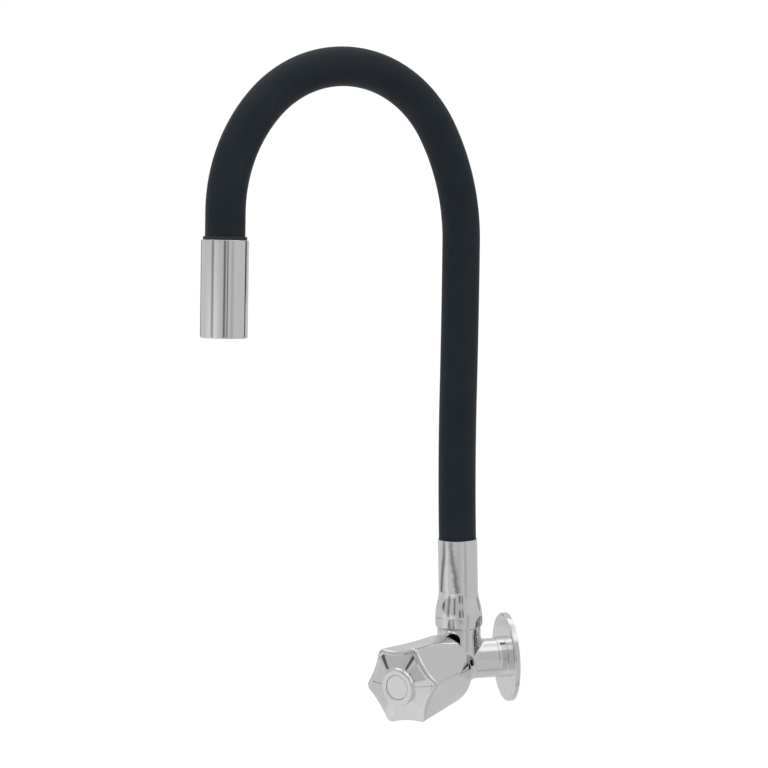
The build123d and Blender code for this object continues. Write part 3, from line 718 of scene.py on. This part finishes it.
def white_finish(name, one_sided):
    """Plain white for the camera that keeps a soft shadow and lets every reflection through."""
    material, tree, shader = new_material(name)
    shader.inputs["Base Color"].default_value = (SHEET_GREY, SHEET_GREY, SHEET_GREY, 1)
    shader.inputs["Roughness"].default_value = SHEET_ROUGHNESS
    link = tree.links.new
    glow = node(tree, "ShaderNodeEmission", (0, -300), Strength=SHEET_WHITE)
    path = node(tree, "ShaderNodeLightPath", (-600, 300))
    share = node(tree, "ShaderNodeMath", (-200, 300), operation="MULTIPLY")
    share.inputs[1].default_value = SHEET_WHITE_SHARE
    white = node(tree, "ShaderNodeMixShader", (200, 0))
    clear = node(tree, "ShaderNodeBsdfTransparent", (200, -200))
    whole = node(tree, "ShaderNodeMixShader", (400, 0))
    link(path.outputs["Is Camera Ray"], share.inputs[0])
    link(share.outputs["Value"], white.inputs["Fac"])
    link(shader.outputs["BSDF"], white.inputs[1])
    link(glow.outputs["Emission"], white.inputs[2])
    if one_sided:
        side = node(tree, "ShaderNodeNewGeometry", (-600, 0))
        hidden = node(tree, "ShaderNodeMath", (-200, 0), operation="SUBTRACT", use_clamp=True)
        link(path.outputs["Is Camera Ray"], hidden.inputs[0])
        link(side.outputs["Backfacing"], hidden.inputs[1])
        link(hidden.outputs["Value"], whole.inputs["Fac"])
        link(clear.outputs["BSDF"], whole.inputs[1])
        link(white.outputs["Shader"], whole.inputs[2])
    else:
        link(path.outputs["Is Glossy Ray"], whole.inputs["Fac"])
        link(white.outputs["Shader"], whole.inputs[1])
        link(clear.outputs["BSDF"], whole.inputs[2])
    link(whole.outputs["Shader"], tree.nodes["Material Output"].inputs["Surface"])
    return material


def white_sheet(name, size, place, one_sided):
    """Flat sheet of the studio, level or stood upright as the wall that the tap is fixed to."""
    bm = bmesh.new()
    bmesh.ops.create_grid(bm, x_segments=1, y_segments=1, size=size, matrix=place)
    mesh = bpy.data.meshes.new(name)
    bm.to_mesh(mesh)
    bm.free()
    mesh.materials.append(white_finish(name, one_sided))
    sheet = bpy.data.objects.new(name, mesh)
    bpy.context.collection.objects.link(sheet)


def build_sheets():
    """Level floor below the tap, and a wall just behind the flange."""
    floor = Matrix.Translation((0, 0, FLOOR_LEVEL))
    wall = Matrix.Translation((0, WALL_GAP, WALL_LEVEL)) @ Matrix.Rotation(pi / 2, 4, "X")
    white_sheet("studio_floor", FLOOR_SIZE, floor, one_sided=False)
    white_sheet("studio_wall", WALL_SIZE, wall, one_sided=True)


# Light tent, as levels by compass turn and by height, both in degrees

# Brightness of the cloth above the horizon and below it, and how the two meet
TENT_ABOVE = [
    (-180, 0.62), (-150, 0.66), (-120, 0.56), (-85, 0.5), (-60, 0.48), (-52, 0.56), (-45, 0.47),
    (5, 0.5), (30, 0.56), (60, 0.6), (80, 0.6), (110, 0.57), (150, 0.6), (180, 0.62),
]
TENT_BELOW = [
    (-180, 0.64), (-165, 0.64), (-140, 0.6), (-112, 0.6), (-86, 0.72), (-50, 0.74), (-25, 0.56),
    (-12, 0.49), (18, 0.56), (31, 0.43), (44, 0.57), (95, 0.56), (125, 0.58), (180, 0.64),
]
HORIZON = [(-1, 0), (5, 1)]

# Light that falls on matt surfaces
SOFT_LIGHT = [(-60, 0.36), (15, 0.68), (75, 1.7)]

# Strips of darker or brighter cloth: a level by compass turn, and the heights they reach between
OUTLET_LINES = (
    [
        (-172, 1), (-160, 0.2), (-150, 1), (-78, 1), (-66, 0.4), (-56, 1), (-16, 1), (-7, 0.25),
        (3, 1), (8, 0.12), (12, 1), (108, 1), (118, 0.2), (128, 1),
    ],
    [(-4.6, 0), (-3.8, 1), (10, 1), (13, 0)],
)
LEFT_RIDGE_LINE = (
    [(-112, 1), (-106, 0.2), (-95, 0.2), (-90, 1)],
    [(4.5, 0), (6, 1), (10, 1), (11.5, 0)],
)
NECK_SHADE = (
    [(-80, 1), (-70, 0.82), (-50, 0.82), (-40, 1)],
    [(-13.5, 0), (-12.5, 1), (-8, 1), (-6, 0)],
)
KNOB_RIM_LIGHT = (
    [(35, 1), (52, 1.9), (68, 1.9), (85, 1)],
    [(15, 0), (20, 1), (40, 1), (50, 0)],
)
RIGHT_RIDGE_LINE = (
    [(-64, 1), (-60, 0.15), (-57, 0.15), (-54, 1)],
    [(12, 0), (13.5, 1), (26, 1), (32, 0)],
)
SHOULDER_LINE = (
    [(-39, 1), (-35, 0.2), (-33, 0.2), (-29, 1)],
    [(3, 0), (5, 1), (30, 1), (40, 0)],
)
LOWER_FACET_LIGHT = (
    [(-140, 1), (-124, 1.22), (-106, 1.22), (-92, 1)],
    [(-60, 1), (-35, 1), (-29, 0)],
)
ROOF_LIGHT = (
    [(-180, 1.85), (180, 1.85)],
    [(44, 0), (56, 1), (66, 1), (78, 0.45)],
)
TENT_STRIPS = (
    OUTLET_LINES,
    LEFT_RIDGE_LINE,
    NECK_SHADE,
    KNOB_RIM_LIGHT,
    RIGHT_RIDGE_LINE,
    SHOULDER_LINE,
    LOWER_FACET_LIGHT,
    ROOF_LIGHT,
)

# Two dark strips that lean together, for the tall sides of the neck
LEAN_MIDDLE = -76.0
LEAN_TOP = -10.4
LEAN_FOOT = LEAN_TOP - 2.2
LEAN_SLOPE = 9.0
LEAN_LEVELS = [(0.012, 1), (0.045, 0.16), (0.075, 0.22), (0.115, 1)]


def level_ramp(tree, source, stops, place):
    """Grey levels along a value from 0 to 1."""
    ramp = node(tree, "ShaderNodeValToRGB", place)
    ramp.color_ramp.interpolation = "EASE"
    elements = ramp.color_ramp.elements
    while len(elements) < len(stops):
        elements.new(0.5)
    for element, (position, level) in zip(elements, stops):
        element.position = position
        element.color = (level, level, level, 1)
    tree.links.new(source, ramp.inputs["Fac"])
    return ramp.outputs["Color"]


def round_share(turn):
    """Place of a compass turn on a ramp, where 0 is +X and 90 is +Y."""
    return turn / 360 + 0.5


def height_share(height):
    """Place of an angle above the horizon on a ramp."""
    return sin(radians(height)) / 2 + 0.5


def compass(turns):
    """Stops of a ramp from compass turns."""
    return [(round_share(turn), level) for turn, level in turns]


def climb(heights):
    """Stops of a ramp from angles above the horizon."""
    return [(height_share(height), level) for height, level in heights]


def blended(tree, kind, share, first, second, place):
    """Mix of two greys, each a level or the output of a node."""
    mix = node(tree, "ShaderNodeMix", place, data_type="RGBA", blend_type=kind)
    tree.links.new(share, mix.inputs["Factor"])
    for socket, value in zip(mix.inputs[6:8], (first, second)):
        if isinstance(value, float):
            socket.default_value = (value, value, value, 1)
        else:
            tree.links.new(value, socket)
    return mix.outputs[2]


def tent_directions(tree):
    """Compass turn and height of what a ray meets, each as a value from 0 to 1."""
    link = tree.links.new
    coords = node(tree, "ShaderNodeTexCoord", (-1600, 0))
    split = node(tree, "ShaderNodeSeparateXYZ", (-1400, 0))
    link(coords.outputs["Generated"], split.inputs["Vector"])
    turn = node(tree, "ShaderNodeMath", (-1200, 0), operation="ARCTAN2")
    link(split.outputs["Y"], turn.inputs[0])
    link(split.outputs["X"], turn.inputs[1])
    around = node(tree, "ShaderNodeMath", (-1000, 0), operation="MULTIPLY_ADD")
    around.inputs[1].default_value = 1 / (2 * pi)
    around.inputs[2].default_value = 0.5
    link(turn.outputs["Value"], around.inputs[0])
    height = node(tree, "ShaderNodeMath", (-1000, -300), operation="MULTIPLY_ADD")
    height.inputs[1].default_value = 0.5
    height.inputs[2].default_value = 0.5
    link(split.outputs["Z"], height.inputs[0])
    return around.outputs["Value"], height.outputs["Value"]


def leaning_strips(tree, around, height, tent, low):
    """The tent with two dark strips that lean together at their tops."""
    aside = node(tree, "ShaderNodeMath", (-900, low), operation="SUBTRACT")
    aside.inputs[1].default_value = round_share(LEAN_MIDDLE)
    spread = node(tree, "ShaderNodeMath", (-750, low), operation="ABSOLUTE")
    fall = node(tree, "ShaderNodeMath", (-750, low - 200), operation="SUBTRACT")
    fall.inputs[1].default_value = height_share(LEAN_TOP)
    lean = node(tree, "ShaderNodeMath", (-600, low), operation="MULTIPLY_ADD")
    lean.inputs[1].default_value = LEAN_SLOPE
    link = tree.links.new
    link(around, aside.inputs[0])
    link(aside.outputs["Value"], spread.inputs[0])
    link(height, fall.inputs[0])
    link(fall.outputs["Value"], lean.inputs[0])
    link(spread.outputs["Value"], lean.inputs[2])
    strips = level_ramp(tree, lean.outputs["Value"], LEAN_LEVELS, (-400, low))
    heights = climb([(LEAN_FOOT, 0), (LEAN_FOOT + 0.8, 1), (LEAN_TOP, 1), (LEAN_TOP + 0.4, 0)])
    band = level_ramp(tree, height, heights, (-400, low - 300))
    return blended(tree, "MULTIPLY", band, tent, strips, (-100, low))


def studio_world():
    """White tent round the tap: what polished metal mirrors, by compass turn and by height."""
    world = bpy.data.worlds.new("light_tent")
    world.use_nodes = True
    bpy.context.scene.world = world
    tree = world.node_tree
    around, height = tent_directions(tree)

    above = level_ramp(tree, around, compass(TENT_ABOVE), (-700, 600))
    below = level_ramp(tree, around, compass(TENT_BELOW), (-700, 300))
    raised = level_ramp(tree, height, climb(HORIZON), (-700, 0))
    tent = blended(tree, "MIX", raised, below, above, (-400, 400))
    low = -500
    for turns, heights in TENT_STRIPS:
        strip = level_ramp(tree, around, compass(turns), (-700, low))
        band = level_ramp(tree, height, climb(heights), (-700, low - 250))
        tent = blended(tree, "MULTIPLY", band, tent, strip, (-300, low))
        low -= 500
    tent = leaning_strips(tree, around, height, tent, low)

    path = node(tree, "ShaderNodeLightPath", (-400, 900))
    fill = level_ramp(tree, height, climb(SOFT_LIGHT), (-700, 1200))
    room = blended(tree, "MIX", path.outputs["Is Glossy Ray"], fill, tent, (0, 400))
    shown = blended(tree, "MIX", path.outputs["Is Camera Ray"], room, 1.0, (200, 400))
    background = tree.nodes["Background"]
    tree.links.new(shown, background.inputs["Color"])
    background.inputs["Strength"].default_value = 1.0


def softbox(name, place, aim, size, power):
    """Square studio lamp that faces a point."""
    lamp = bpy.data.lights.new(name, "AREA")
    lamp.shape = "SQUARE"
    lamp.size = size
    lamp.energy = power
    holder = bpy.data.objects.new(name, lamp)
    holder.location = place
    holder.rotation_euler = (Vector(aim) - Vector(place)).to_track_quat("-Z", "Y").to_euler()
    holder.visible_glossy = False
    bpy.context.collection.objects.link(holder)


# Camera at the photograph's place

CAMERA_PLACE = Vector((0.9697, -0.2635, 0.2443))
CAMERA_AZIMUTH = radians(78.50)
CAMERA_ELEVATION = radians(5.38)
CAMERA_ROLL = radians(-1.11)
CAMERA_LENS = 88.125
CAMERA_SENSOR = 36.0


def photo_camera():
    """Camera nearly side on and slightly above the knob."""
    back = Vector(
        (
            sin(CAMERA_AZIMUTH) * cos(CAMERA_ELEVATION),
            -cos(CAMERA_AZIMUTH) * cos(CAMERA_ELEVATION),
            sin(CAMERA_ELEVATION),
        )
    )
    right = (-back).cross(UP).normalized()
    top = right.cross(-back)
    turned_right = right * cos(CAMERA_ROLL) + top * sin(CAMERA_ROLL)
    turned_top = top * cos(CAMERA_ROLL) - right * sin(CAMERA_ROLL)
    camera_data = bpy.data.cameras.new("photo_camera")
    camera_data.lens = CAMERA_LENS
    camera_data.sensor_width = CAMERA_SENSOR
    camera = bpy.data.objects.new("photo_camera", camera_data)
    turn = Matrix((turned_right, turned_top, back)).transposed().to_4x4()
    camera.matrix_world = Matrix.Translation(CAMERA_PLACE) @ turn
    bpy.context.collection.objects.link(camera)
    bpy.context.scene.camera = camera


dress_hose()
dress_neck()
dress_outlet()
dress_mouth_ring()
dress_aerator()
dress_flange()
dress_knob()
dress_cap()
finish_plain_nodes()

build_sheets()
studio_world()
softbox("key_light", place=(0.9, -1.1, 1.4), aim=(0, -0.08, 0.15), size=1.0, power=14)
softbox("fill_light", place=(1.3, 0.9, 0.7), aim=(0, -0.05, 0.15), size=1.2, power=6)
photo_camera()

scene = bpy.context.scene
scene.view_settings.view_transform = "Standard"
